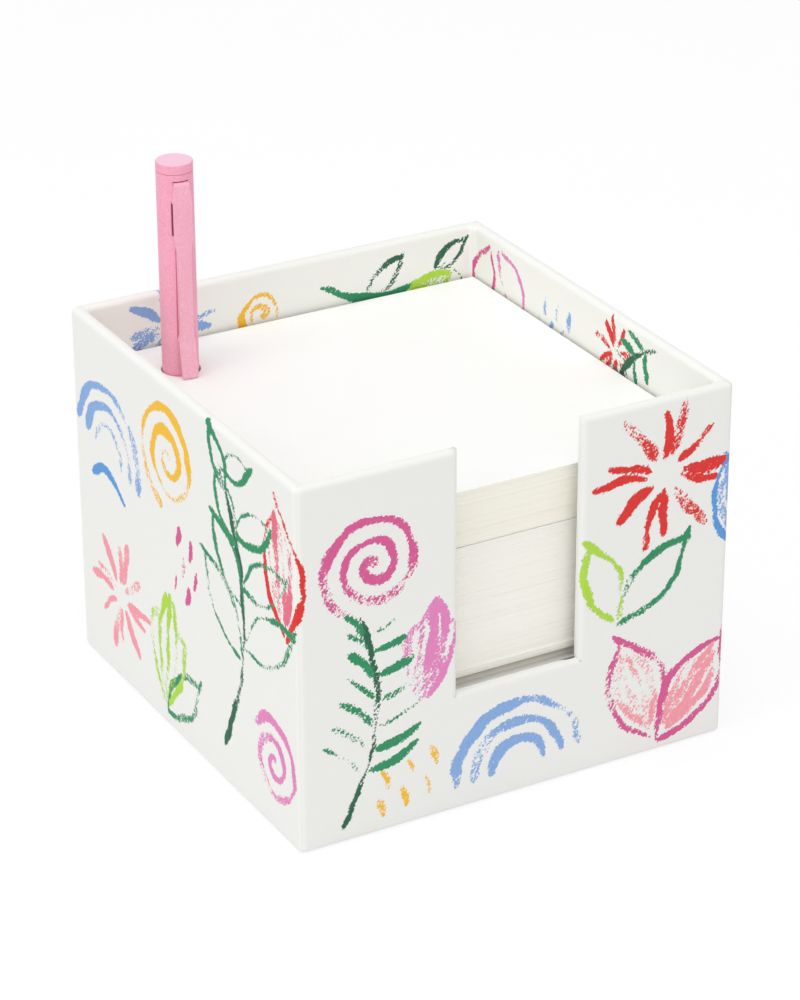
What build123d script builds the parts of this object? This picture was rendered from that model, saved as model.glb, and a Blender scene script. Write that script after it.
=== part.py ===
from build123d import *
import os

# Memo cube: a rigid board box wrapped in printed paper, its loose drilled sheets, and a capped pen
# standing in the drilled hole. Millimetres, +Z up, origin at the middle of the footprint on the
# table. The notched wall faces -Y and the pen stands near the back left corner.

# Sheets
sheet_side = 101.6
sheet_thick = 0.1
side_room = 0.8
front_room = 2.6
back_room = 1.0
lower_pack_height = 24.05
proud_sheets_height = 0.3
set_back_sheets_height = 2.45
middle_pack_height = 31.7
upper_pack_height = 13.3
front_trim = 1.2
hole_from_left = 15.6
hole_from_back = 14.0

# Box
board = 2.5
paper = 0.2
stay = 0.1
box_height = 88.0
sill_height = 29.3
notch_width = 31.0
corner_radius = 1.6
rim_radius = 1.25
foot_radius = 1.0
turn_in = 19.0
notch_flap = 10.0
turn_under = 15.0
base_sheet_margin = 1.5
stay_leg = 14.0
stay_end_gap = 4.0

# Pen
pen_length = 122.7
pen_diameter = 8.5
pen_hole_room = 0.35
foot_gap = 0.3
crown_height = 2.25
crown_spigot = 1.2
crown_chamfer = 0.18
seam_gap = 0.12
seam_chamfer = 0.12
cap_length = 58.0
cap_wall = 0.55
cap_to_barrel_gap = 0.1
barrel_step = 0.2
barrel_wall = 0.65
plug_height = 2.0
plug_spigot = 4.0
collar_length = 7.0
collar_room = 0.2
ring_height = 1.6
ring_room = 0.05
ring_groove = 0.25
grip_length = 23.0
grip_room = 0.3
nose_length = 8.0
nose_end_radius = 1.7
section_spigot = 9.0
liner_wall = 0.5
liner_gap_over_collar = 1.0
liner_room_over_ball = 3.0
refill_radius = 1.5
refill_wall = 0.35
refill_room_over_plug = 6.6
tip_reach = 2.4
tip_socket = 4.0
ball_radius = 0.35
ball_room = 0.02
tip_lip = 0.1

# Clip: a bent strip that enters a slot under the crown
clip_turn = -6.0
clip_thick = 0.5
clip_head_width = 3.5
clip_leaf_width = 4.3
clip_waist_width = 3.2
clip_foot_width = 3.9
clip_end_width = 3.8
clip_standoff = 0.5
clip_slot_below_top = 3.7
clip_slot_height = 0.9
clip_slot_room = 0.1
clip_slope = 4.6
clip_shoulder_start = 13.0
clip_shoulder = 3.2
clip_foot_length = 8.6
clip_foot_shoulder = 1.6
clip_flare = 1.6
clip_flange = 0.35
clip_flange_room = 0.12
clip_window_length = 8.0
clip_window_gap = 0.6
clip_bend_radius = 0.6
clip_hook = 1.4
clip_hook_width = 2.0
clip_hook_room = 0.25
clip_end_gap = 0.35
clip_bead_length = 3.2
clip_bead_room = 0.05
clip_bead_above_foot = 0.5
clip_corner = 0.5

# Worked out from the sizes above
wall = board + 2 * paper
well_x = sheet_side + 2 * side_room
well_y = sheet_side + front_room + back_room
box_x = well_x + 2 * wall
box_y = well_y + 2 * wall
floor_z = board + 3 * paper
lining_top = box_height - turn_in
sheets_y = (front_room - back_room) / 2

lower_z = floor_z
proud_z = lower_z + lower_pack_height
set_back_z = proud_z + proud_sheets_height
middle_z = set_back_z + set_back_sheets_height
upper_z = middle_z + middle_pack_height
top_sheet_z = upper_z + upper_pack_height
stack_top = top_sheet_z + sheet_thick

pen_x = hole_from_left - sheet_side / 2
pen_y = sheets_y + sheet_side / 2 - hole_from_back
cap_radius = pen_diameter / 2
hole_radius = cap_radius + pen_hole_room
pen_foot = floor_z + foot_gap
pen_top = pen_foot + pen_length
crown_z = pen_top - crown_height
cap_mouth = pen_top - cap_length
cap_bore = cap_radius - cap_wall
barrel_radius = cap_radius - barrel_step
barrel_bore = barrel_radius - barrel_wall
barrel_top = cap_mouth - cap_to_barrel_gap
collar_top = barrel_top + collar_length
grip_top = collar_top + grip_length
nose_top = grip_top + nose_length
ball_z = nose_top + tip_reach - ball_radius
liner_z = collar_top + liner_gap_over_collar
liner_top = nose_top + tip_reach + liner_room_over_ball
grip_radius = cap_bore - liner_wall - grip_room
refill_top = nose_top - tip_socket
plug_top = pen_foot + plug_height + plug_spigot
refill_foot = plug_top + refill_room_over_plug

slot_top = pen_top - clip_slot_below_top
slot_z = slot_top - clip_slot_height
clip_end = stack_top + clip_end_gap
clip_inner = cap_radius + clip_standoff
tab_z = slot_z + clip_slot_room + clip_thick / 2
hook_outer = cap_bore - clip_hook_room

os.makedirs("parts", exist_ok=True)


def finish(piece, name):
    piece.label = name
    export_step(piece, f"parts/{name}.step")


# The box as one notched tray, `skin` below its finished surface: 0 gives the surface of the wrap,
# and the thickness of the paper gives the surface of the boards.
def tray(skin):
    with BuildPart() as shape:
        with BuildSketch(Plane.XY.offset(paper + skin)):
            Rectangle(box_x - 2 * skin, box_y - 2 * skin)
        extrude(amount=box_height - paper - 2 * skin)
        fillet(shape.edges().filter_by(Axis.Z), corner_radius - skin)
        fillet(shape.edges().group_by(Axis.Z)[0], foot_radius - skin)
        with BuildSketch(Plane.XY.offset(floor_z - skin)):
            Rectangle(well_x + 2 * skin, well_y + 2 * skin)
        extrude(amount=box_height, mode=Mode.SUBTRACT)
        with BuildSketch(Plane.XY.offset(sill_height - skin)):
            with Locations((0, -(box_y - wall) / 2)):
                Rectangle(notch_width + 2 * skin, 2 * wall)
        extrude(amount=box_height, mode=Mode.SUBTRACT)
        edges = shape.edges()
        rim = edges.group_by(Axis.Z)[-1]
        near = wall / 2
        half_notch = notch_width / 2 + near
        front = edges.filter_by_position(Axis.Y, -box_y, -well_y / 2 + near)
        at_notch = front.filter_by_position(Axis.X, -half_notch, half_notch)
        sill = at_notch.filter_by(Axis.X).filter_by_position(Axis.Z, sill_height - near, sill_height + near)
        jambs = at_notch.filter_by(Axis.Z).filter_by_position(Axis.Z, sill_height, box_height)
        fillet(rim + sill + jambs, rim_radius - skin)
    return shape.part


wrap_surface = tray(0)
board_surface = tray(paper)


# The solid of the boards inside one rectangle seen from above, between two heights
def board_piece(name, x, y, width, depth, low, high):
    with BuildPart() as piece:
        add(board_surface)
        with BuildSketch(Plane.XY.offset(low)):
            with Locations((x, y)):
                Rectangle(width, depth)
        extrude(amount=high - low, mode=Mode.INTERSECT)
    finish(piece.part, name)


board_foot = 2 * paper
wall_middle_x = (well_x + wall) / 2
wall_middle_y = (well_y + wall) / 2
base_x = well_x + 2 * paper
base_y = well_y + 2 * paper
board_piece("base_board", 0, 0, base_x, base_y, board_foot, floor_z)
board_piece("front_board", 0, -wall_middle_y, box_x, board, board_foot, box_height)
board_piece("back_board", 0, wall_middle_y, box_x, board, board_foot, box_height)
board_piece("left_board", -wall_middle_x, 0, board, base_y, board_foot, box_height)
board_piece("right_board", wall_middle_x, 0, board, base_y, board_foot, box_height)


# Paper tape over the outside of one vertical corner of the boards
def corner_stay(name, side, end):
    radius = corner_radius - paper
    with BuildPart() as tape:
        with BuildSketch(Plane.XY.offset(board_foot + stay_end_gap)):
            RectangleRounded(box_x - 2 * paper + 2 * stay, box_y - 2 * paper + 2 * stay, radius + stay)
            RectangleRounded(box_x - 2 * paper, box_y - 2 * paper, radius, mode=Mode.SUBTRACT)
            with Locations((side * box_x / 2, end * box_y / 2)):
                Rectangle(2 * stay_leg, 2 * stay_leg, mode=Mode.INTERSECT)
        extrude(amount=box_height - rim_radius - board_foot - 2 * stay_end_gap)
    finish(tape.part, name)
    return tape.part


stays = []
for end_name, end in (("front", -1), ("back", 1)):
    for side_name, side in (("left", -1), ("right", 1)):
        stays.append(corner_stay(f"corner_stay_{end_name}_{side_name}", side, end))

# Where the paper strip lines the walls: a skin of the well, but for the wrap's flaps at the notch
with BuildPart() as lined_zone:
    with BuildSketch(Plane.XY.offset(floor_z)):
        Rectangle(well_x + 2 * paper, well_y + 2 * paper)
        Rectangle(well_x, well_y, mode=Mode.SUBTRACT)
    extrude(amount=lining_top - floor_z)
    with BuildSketch(Plane.XY.offset(sill_height - notch_flap)):
        with Locations((0, -wall_middle_y)):
            Rectangle(notch_width + 2 * notch_flap, 2 * wall)
    extrude(amount=box_height, mode=Mode.SUBTRACT)

with BuildPart() as outer_wrap:
    add(wrap_surface)
    add(board_surface, mode=Mode.SUBTRACT)
    add(lined_zone.part, mode=Mode.SUBTRACT)
    with BuildSketch(Plane.XY.offset(floor_z - paper)):
        Rectangle(base_x, base_y)
    extrude(amount=paper, mode=Mode.SUBTRACT)
    with BuildSketch(Plane.XY.offset(paper)):
        Rectangle(box_x - 2 * turn_under, box_y - 2 * turn_under)
    extrude(amount=paper, mode=Mode.SUBTRACT)
    for tape in stays:
        add(tape, mode=Mode.SUBTRACT)
finish(outer_wrap.part, "outer_wrap")

finish(lined_zone.part, "wall_lining")

with BuildPart() as floor_lining:
    with BuildSketch(Plane.XY.offset(floor_z - paper)):
        Rectangle(base_x, base_y)
    extrude(amount=paper)
finish(floor_lining.part, "floor_lining")

with BuildPart() as base_sheet:
    with BuildSketch():
        RectangleRounded(box_x - 2 * base_sheet_margin, box_y - 2 * base_sheet_margin, corner_radius)
    extrude(amount=paper)
finish(base_sheet.part, "base_sheet")


# Square sheets with the pen's hole drilled through them; trim is what their front edge lacks
def sheets(name, bottom, height, trim=0.0):
    with BuildPart() as pile:
        with BuildSketch(Plane.XY.offset(bottom)):
            with Locations((0, sheets_y + trim / 2)):
                Rectangle(sheet_side, sheet_side - trim)
            with Locations((pen_x, pen_y)):
                Circle(hole_radius, mode=Mode.SUBTRACT)
        extrude(amount=height)
    finish(pile.part, name)


sheets("lower_pack", lower_z, lower_pack_height, front_trim)
sheets("proud_sheets", proud_z, proud_sheets_height)
sheets("set_back_sheets", set_back_z, set_back_sheets_height, front_trim)
sheets("middle_pack", middle_z, middle_pack_height)
sheets("upper_pack", upper_z, upper_pack_height)
sheets("top_sheet", top_sheet_z, sheet_thick)


# A level of the pen's axis, with the clip's side towards local -Y
def pen_plane(level):
    return Plane((pen_x, pen_y, level)).rotated((0, 0, clip_turn))


# A ring or disc about the pen's axis
def round_piece(low, high, outer, inner=0.0):
    with BuildPart() as shape:
        with BuildSketch(pen_plane(low)):
            Circle(outer)
            if inner > 0:
                Circle(inner, mode=Mode.SUBTRACT)
        extrude(amount=high - low)
    return shape.part


with BuildPart() as cap_tube:
    add(round_piece(cap_mouth, crown_z, cap_radius, cap_bore))
    outer_top = cap_tube.edges().group_by(Axis.Z)[-1].sort_by(SortBy.RADIUS)[-1]
    chamfer(outer_top, seam_chamfer)
    with BuildSketch(pen_plane(slot_z)):
        with Locations((0, -cap_radius)):
            Rectangle(clip_head_width + 2 * clip_slot_room, 2 * cap_radius - 2 * clip_hook)
    extrude(amount=clip_slot_height, mode=Mode.SUBTRACT)
finish(cap_tube.part, "cap_tube")

with BuildPart() as cap_crown:
    add(round_piece(crown_z + seam_gap, pen_top, cap_radius))
    chamfer(cap_crown.edges().group_by(Axis.Z)[-1], crown_chamfer)
    add(round_piece(crown_z - crown_spigot, crown_z + seam_gap, cap_bore))
finish(cap_crown.part, "cap_crown")

with BuildPart() as cap_liner:
    add(round_piece(liner_z, liner_top, cap_bore, cap_bore - liner_wall))
    add(round_piece(liner_top, liner_top + liner_wall, cap_bore))
finish(cap_liner.part, "cap_liner")

with BuildPart() as barrel:
    add(round_piece(pen_foot + plug_height, barrel_top, barrel_radius, barrel_bore))
finish(barrel.part, "barrel")

with BuildPart() as barrel_plug:
    add(round_piece(pen_foot, pen_foot + plug_height, barrel_radius))
    chamfer(barrel_plug.edges().group_by(Axis.Z)[0], crown_chamfer)
    add(round_piece(pen_foot + plug_height, plug_top, barrel_bore))
finish(barrel_plug.part, "barrel_plug")

# The section: a spigot in the barrel, a collar in the cap's mouth, the grip and its tapered nose
collar_radius = cap_bore - collar_room
ring_z = barrel_top + (collar_length - ring_height) / 2
ring_seat = collar_radius - ring_groove
tip_radius = refill_radius - refill_wall
with BuildPart() as grip_section:
    with BuildSketch(Plane((pen_x, pen_y, 0), x_dir=(1, 0, 0), z_dir=(0, -1, 0))):
        with BuildLine():
            Polyline(
                (0, barrel_top - section_spigot),
                (barrel_bore, barrel_top - section_spigot),
                (barrel_bore, barrel_top),
                (collar_radius, barrel_top),
                (collar_radius, ring_z),
                (ring_seat, ring_z),
                (ring_seat, ring_z + ring_height),
                (collar_radius, ring_z + ring_height),
                (collar_radius, collar_top),
                (grip_radius, collar_top),
                (grip_radius, grip_top),
                (nose_end_radius, nose_top),
                (0, nose_top),
                close=True,
            )
        make_face()
    revolve(axis=Axis((pen_x, pen_y, 0), (0, 0, 1)))
    add(round_piece(barrel_top - section_spigot, refill_top, refill_radius), mode=Mode.SUBTRACT)
    add(round_piece(refill_top, nose_top, tip_radius), mode=Mode.SUBTRACT)
finish(grip_section.part, "grip_section")

finish(round_piece(ring_z, ring_z + ring_height, cap_bore - ring_room, ring_seat), "collar_ring")
finish(round_piece(refill_foot, refill_top, refill_radius, tip_radius), "refill_tube")

with BuildPart() as refill_tip:
    add(round_piece(refill_top - tip_socket, nose_top, tip_radius))
    with BuildSketch(pen_plane(nose_top)):
        Circle(tip_radius)
    with BuildSketch(pen_plane(ball_z)):
        Circle(ball_radius + ball_room + tip_lip)
    loft()
    with Locations((pen_x, pen_y, ball_z)):
        Sphere(ball_radius + ball_room, mode=Mode.SUBTRACT)
finish(refill_tip.part, "refill_tip")

with BuildPart() as refill_ball:
    with Locations((pen_x, pen_y, ball_z)):
        Sphere(ball_radius)
finish(refill_ball.part, "refill_ball")

# The clip's own planes: seen from its side, and facing it from outside the pen
across = pen_plane(0).x_dir
outward = -pen_plane(0).y_dir
clip_side = Plane((pen_x, pen_y, 0), x_dir=outward, z_dir=-across)
clip_face = Plane((pen_x, pen_y, 0), x_dir=across, z_dir=outward)
leaf_x = clip_inner + clip_thick / 2
rise_x = cap_radius + clip_slot_room + clip_thick / 2
slope_foot = tab_z - clip_slope
shoulder_z = tab_z - clip_shoulder_start
waist_top = shoulder_z - clip_shoulder
foot_top = clip_end + clip_foot_length


# Facing the clip: its outline, `inset` from its sides
def clip_outline(inset):
    head = clip_head_width / 2 - inset
    leaf = clip_leaf_width / 2 - inset
    waist = clip_waist_width / 2 - inset
    foot = clip_foot_width / 2 - inset
    end = clip_end_width / 2 - inset
    with BuildSketch(clip_face) as outline:
        with BuildLine():
            Polyline(
                (0, tab_z + clip_thick),
                (head, tab_z + clip_thick),
                (head, slot_z),
                (leaf, slope_foot),
                (leaf, shoulder_z),
                (waist, waist_top),
                (waist, foot_top + clip_foot_shoulder),
                (foot, foot_top),
                (end, clip_end + clip_corner),
                (end - clip_corner, clip_end),
                (0, clip_end),
            )
            mirror(about=Plane.YZ)
        make_face()
    return outline.sketch


# The clip's folded sides, which end just over the cap and leave a slit under its leaf
with BuildPart() as clip_walls:
    with BuildSketch(clip_side):
        bent_side = [(0, tab_z), (rise_x, tab_z), (leaf_x, slope_foot), (leaf_x, foot_top), (0, foot_top)]
        Polygon(*bent_side, align=None)
    extrude(amount=clip_leaf_width / 2, both=True)
    extrude(clip_outline(0), amount=2 * clip_inner, mode=Mode.INTERSECT)
    extrude(clip_outline(clip_flange), amount=2 * clip_inner, mode=Mode.SUBTRACT)
    add(round_piece(clip_end, pen_top, cap_radius + clip_flange_room), mode=Mode.SUBTRACT)
    window_foot = slope_foot - clip_window_length
    add(round_piece(window_foot, slope_foot, cap_radius + clip_window_gap), mode=Mode.SUBTRACT)

with BuildPart() as clip:
    with BuildSketch(clip_side):
        with BuildLine():
            FilletPolyline(
                (hook_outer - clip_thick, tab_z),
                (rise_x, tab_z),
                (leaf_x, slope_foot),
                (leaf_x, foot_top),
                (leaf_x + clip_flare, clip_end),
                radius=clip_bend_radius,
            )
        trace(line_width=clip_thick)
    extrude(amount=clip_leaf_width / 2, both=True)
    extrude(clip_outline(0), amount=2 * clip_inner, mode=Mode.INTERSECT)
    add(clip_walls.part)
    with BuildSketch(clip_side):
        bead_z = foot_top + clip_bead_above_foot
        with BuildLine():
            ThreePointArc(
                (leaf_x, bead_z - clip_bead_length / 2),
                (cap_radius + clip_bead_room, bead_z),
                (leaf_x, bead_z + clip_bead_length / 2),
            )
            Line((leaf_x, bead_z + clip_bead_length / 2), (leaf_x, bead_z - clip_bead_length / 2))
        make_face()
    extrude(amount=clip_waist_width / 2 - clip_flange, both=True)
    with BuildSketch(clip_face.offset(hook_outer - clip_thick)):
        with Locations((0, tab_z - clip_hook / 2)):
            Rectangle(clip_hook_width, clip_hook)
    extrude(amount=clip_thick)
finish(clip.part, "clip")
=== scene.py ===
import math

import bmesh
import bpy
import numpy as np
from mathutils import Matrix, Vector


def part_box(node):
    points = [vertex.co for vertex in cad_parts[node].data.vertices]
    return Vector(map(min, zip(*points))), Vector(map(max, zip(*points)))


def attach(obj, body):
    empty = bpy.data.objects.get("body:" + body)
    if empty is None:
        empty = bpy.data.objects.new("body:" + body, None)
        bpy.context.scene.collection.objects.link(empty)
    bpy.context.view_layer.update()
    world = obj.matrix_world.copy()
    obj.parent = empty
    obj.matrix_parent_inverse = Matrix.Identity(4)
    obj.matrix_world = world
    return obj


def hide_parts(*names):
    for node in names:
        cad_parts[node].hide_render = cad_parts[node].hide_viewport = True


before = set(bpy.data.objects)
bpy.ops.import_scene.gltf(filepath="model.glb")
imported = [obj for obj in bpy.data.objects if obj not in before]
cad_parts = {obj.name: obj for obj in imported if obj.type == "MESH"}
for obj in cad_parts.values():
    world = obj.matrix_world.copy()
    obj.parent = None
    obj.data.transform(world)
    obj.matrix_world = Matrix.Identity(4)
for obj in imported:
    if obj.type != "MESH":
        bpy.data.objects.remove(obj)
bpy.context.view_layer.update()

bl_info = {
    "name": "Memo cube",
    "version": (1, 0, 0),
    "blender": (4, 5, 0),
    "location": "View3D > Sidebar > Memo cube",
    "description": "Dresses a paper-wrapped memo cube, its loose sheets and its pen",
    "category": "Object",
}

MM = 0.001


# Sizes in millimetres, angles in degrees and colours in 0 to 255, unless a line says otherwise

def solid_box(node):
    """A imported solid's lowest and highest corners."""
    low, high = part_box(node)
    return low / MM, high / MM


def held(value):
    """The value, kept between 0 and 1."""
    return min(max(value, 0.0), 1.0)


HALF_X, HALF_Y, BOX_TOP = solid_box("outer_wrap")[1]
LINING_TOP = solid_box("wall_lining")[1].z
BASE_TOP = solid_box("base_sheet")[1].z
# Two points closer than this are taken as one place
NEAR = 0.01

# Wrap
WALL = 2.9
PAPER = 0.2
RIM_RADIUS = 1.25
FOOT_RADIUS = 1.0
CORNER_RADIUS = 1.6
NOTCH_HALF = 15.5
SILL = 29.3
NOTCH_FLAP = 10.0
TURN_UNDER = 14.0
RIM_STEPS = 6
CORNER_STEPS = 8
FOOT_STEPS = 4
FLAT_STEPS = 3
# How wide the paper bridges an inner corner, and how far two walls of it lap outside
CORNER_BRIDGE = 1.3
CORNER_LAP = 0.03
# The sill's rear sinks towards its right end: how far, from where along it, and over what depth
SILL_DROP = 0.7
SILL_CUT = 11.5
SILL_RAMP = 0.8
# The paper takes its inside colour, a lighter copy of its own that is painted light on the inner walls, past
# this share of the wall's thickness, at this rate
INSIDE_FROM = 0.6
INSIDE_RATE = 3

# Print
PATH_STEP = 0.5
# Width over which a stroke's edge fades
SOFT_EDGE = 1.1
# The most pairs of point and stroke segment that are worked out at once
COVER_BLOCK = 4000000

# Sheets
HOLE_RADIUS = 4.6
# Points along each edge of a sheet, and a quarter of those round its hole
EDGE_STEPS = 15
# Degrees that a layer turns for each millimetre that layers shift
SHEET_TURN = 0.9
# Random draws are cut off at this many of their own spreads
SHIFT_LIMIT = 2.5

# Pen
# Painted highlight: the colour of the crown's top face, lighter than the coat as if lit from above
CROWN_HIGHLIGHT = (243, 197, 216)
COAT_GRAIN = (8, 22, 17)
CLIP_TURN = 6.0
# Painted shade on the cap tube beside the clip, the dark slit under its edge and the shaded line below it:
# from and to across, from and to in height, lean and colour
CLIP_SHADE = (
    (-2.32, -1.75, 109.6, 117.2, 0.0, (128, 40, 74)),
    (-1.84, -1.15, 84.0, 109.4, 0.01, (214, 112, 142)),
)

# Stage: lamps by name, place, size and watts; places and sizes in metres, the sensor in millimetres
FLOOR_HALF = 3.0
FLOOR_GLOW = 1.03
FLOOR_GLOW_SHARE = 0.76
SKY_LIGHT = 0.62
SKY_SHOWN = 1.0
WHITE = (1, 1, 1, 1)
LAMP_AIM = (0, 0, 0.05)
LAMPS = (
    ("overhead", (-0.25, -0.15, 1.5), 1.0, 8.7),
    ("left_fill", (-1.4, -0.4, 0.7), 0.9, 3.5),
    ("front_fill", (-0.25, -1.6, 0.4), 0.9, 2.0),
)
SENSOR_WIDTH = 36
CAMERA_AIM = (0.0014, 0.0, 0.0484)


# Socket arithmetic

class Wire:
    """The output of a shader node, with the arithmetic that the finishes use."""

    def __init__(self, finish, socket):
        self.finish = finish
        self.socket = socket

    def math(self, operation, first, second=0.0, clamp=False):
        return self.finish.node(
            "ShaderNodeMath", {"operation": operation, "use_clamp": clamp}, {0: first, 1: second})

    def __add__(self, other):
        return self.math("ADD", self, other)

    def __radd__(self, other):
        return self.math("ADD", other, self)

    def __sub__(self, other):
        return self.math("SUBTRACT", self, other)

    def __rsub__(self, other):
        return self.math("SUBTRACT", other, self)

    def __mul__(self, other):
        return self.math("MULTIPLY", self, other)

    def __rmul__(self, other):
        return self.math("MULTIPLY", other, self)

    def held(self):
        """The same value, kept between 0 and 1."""
        return self.math("ADD", self, 0.0, clamp=True)

    def above(self, low, high):
        """0 below low, 1 above high and smooth between them."""
        return self.finish.node(
            "ShaderNodeMapRange",
            {"interpolation_type": "SMOOTHSTEP"},
            {"Value": self, "From Min": low, "From Max": high})


class Finish:
    """A material, or the world, that is built from nodes."""

    def __init__(self, name, kind="materials"):
        self.owner = getattr(bpy.data, kind).new(name)
        self.owner.use_nodes = True
        self.tree = self.owner.node_tree
        self.tree.nodes.clear()

    def node(self, kind, settings=None, inputs=None, output=0):
        """Adds a node, sets it up, links or sets its sockets, and gives one of its outputs."""
        made = self.tree.nodes.new(kind)
        for key, value in (settings or {}).items():
            setattr(made, key, value)
        for key, value in (inputs or {}).items():
            if isinstance(value, Wire):
                self.tree.links.new(value.socket, made.inputs[key])
            else:
                made.inputs[key].default_value = value
        return Wire(self, made.outputs[output]) if made.outputs else made

    def place(self, scale=(1.0, 1.0, 1.0), turn=(0.0, 0.0, 0.0)):
        """Object coordinates in millimetres, times scale."""
        coords = self.node("ShaderNodeTexCoord", output="Object")
        return self.node(
            "ShaderNodeMapping", {},
            {"Vector": coords, "Rotation": turn, "Scale": [axis / MM for axis in scale]})

    def noise(self, vector, scale, detail=2.0, roughness=0.5):
        """Noise with features about 1 / scale millimetres wide, spread over 0 to 1."""
        value = self.node(
            "ShaderNodeTexNoise", {},
            {"Vector": vector, "Scale": scale, "Detail": detail, "Roughness": roughness})
        return (value - 0.5) * 2.0 + 0.5

    def mix(self, factor, first, second):
        """Two colours mixed by a factor."""
        return self.node(
            "ShaderNodeMix", {"data_type": "RGBA"}, {0: factor, 6: first, 7: second}, output=2)

    def looked_at(self):
        """1 where the camera looks, also by way of gloss or glass, and 0 for all other light."""
        kinds = ("Camera", "Glossy", "Transmission")
        camera, gloss, glass = (self.node("ShaderNodeLightPath", output=f"Is {kind} Ray") for kind in kinds)
        return (camera + gloss + glass).held()

    def attribute(self, name):
        """A value that the mesh's points carry."""
        return self.node("ShaderNodeAttribute", {"attribute_name": name}, output="Fac")

    def bump(self, height, distance, strength=1.0):
        """A normal from a height in 0 to 1 that stands for distance millimetres."""
        return self.node(
            "ShaderNodeBump", {},
            {"Height": height, "Distance": distance * MM, "Strength": strength})

    def surface(self, **sockets):
        """Closes the material with one Principled shader."""
        shader = self.node(
            "ShaderNodeBsdfPrincipled", {},
            {key.replace("_", " "): value for key, value in sockets.items()})
        self.node("ShaderNodeOutputMaterial", {}, {"Surface": shader})
        return self.owner


def colour(red, green, blue):
    """A colour written in 0 to 255 as a screen shows it, in linear values."""
    def linear(value):
        value /= 255
        return value / 12.92 if value <= 0.04045 else ((value + 0.055) / 1.055) ** 2.4
    return (linear(red), linear(green), linear(blue), 1.0)


# Crayon strokes on the unfolded wrap. S runs round the box from the middle of the front, to the
# right as seen from outside; T runs up a wall, over its rim and down inside.

INKS = {
    "red": (216, 50, 46),
    "magenta": (210, 88, 144),
    "orchid": (222, 130, 186),
    "coral": (240, 152, 166),
    "rose": (226, 106, 128),
    "sky": (132, 168, 218),
    "blue": (88, 150, 214),
    "pine": (44, 96, 70),
    "green": (46, 138, 94),
    "lime": (172, 212, 70),
    "golden": (240, 186, 52),
}


def smooth_path(points, step=PATH_STEP):
    """Points along a smooth curve through the given ones, about a step apart."""
    pts = np.array(points, float)
    padded = np.vstack([2 * pts[0] - pts[1], pts, 2 * pts[-1] - pts[-2]])
    run = []
    for i in range(len(pts) - 1):
        p0, p1, p2, p3 = padded[i:i + 4]
        count = max(2, int(np.linalg.norm(p2 - p1) / step))
        t = np.linspace(0, 1, count, endpoint=False)[:, None]
        run.append(0.5 * (2 * p1 + (p2 - p0) * t + (2 * p0 - 5 * p1 + 4 * p2 - p3) * t ** 2
                          + (3 * p1 - p0 - 3 * p2 + p3) * t ** 3))
    run.append(pts[-1:])
    return np.vstack(run)


def placed(points, at, turn, size):
    """Motif points turned by degrees, scaled and moved to their place."""
    c, s = math.cos(math.radians(turn)), math.sin(math.radians(turn))
    pts = np.array(points, float) * size
    return pts @ np.array([[c, s], [-s, c]]) + np.array(at, float)


def wave(steps, amount, length, phase):
    """A swing of an amount to both sides, once in 2 pi lengths."""
    return amount * np.sin(steps / length + phase)


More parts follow.
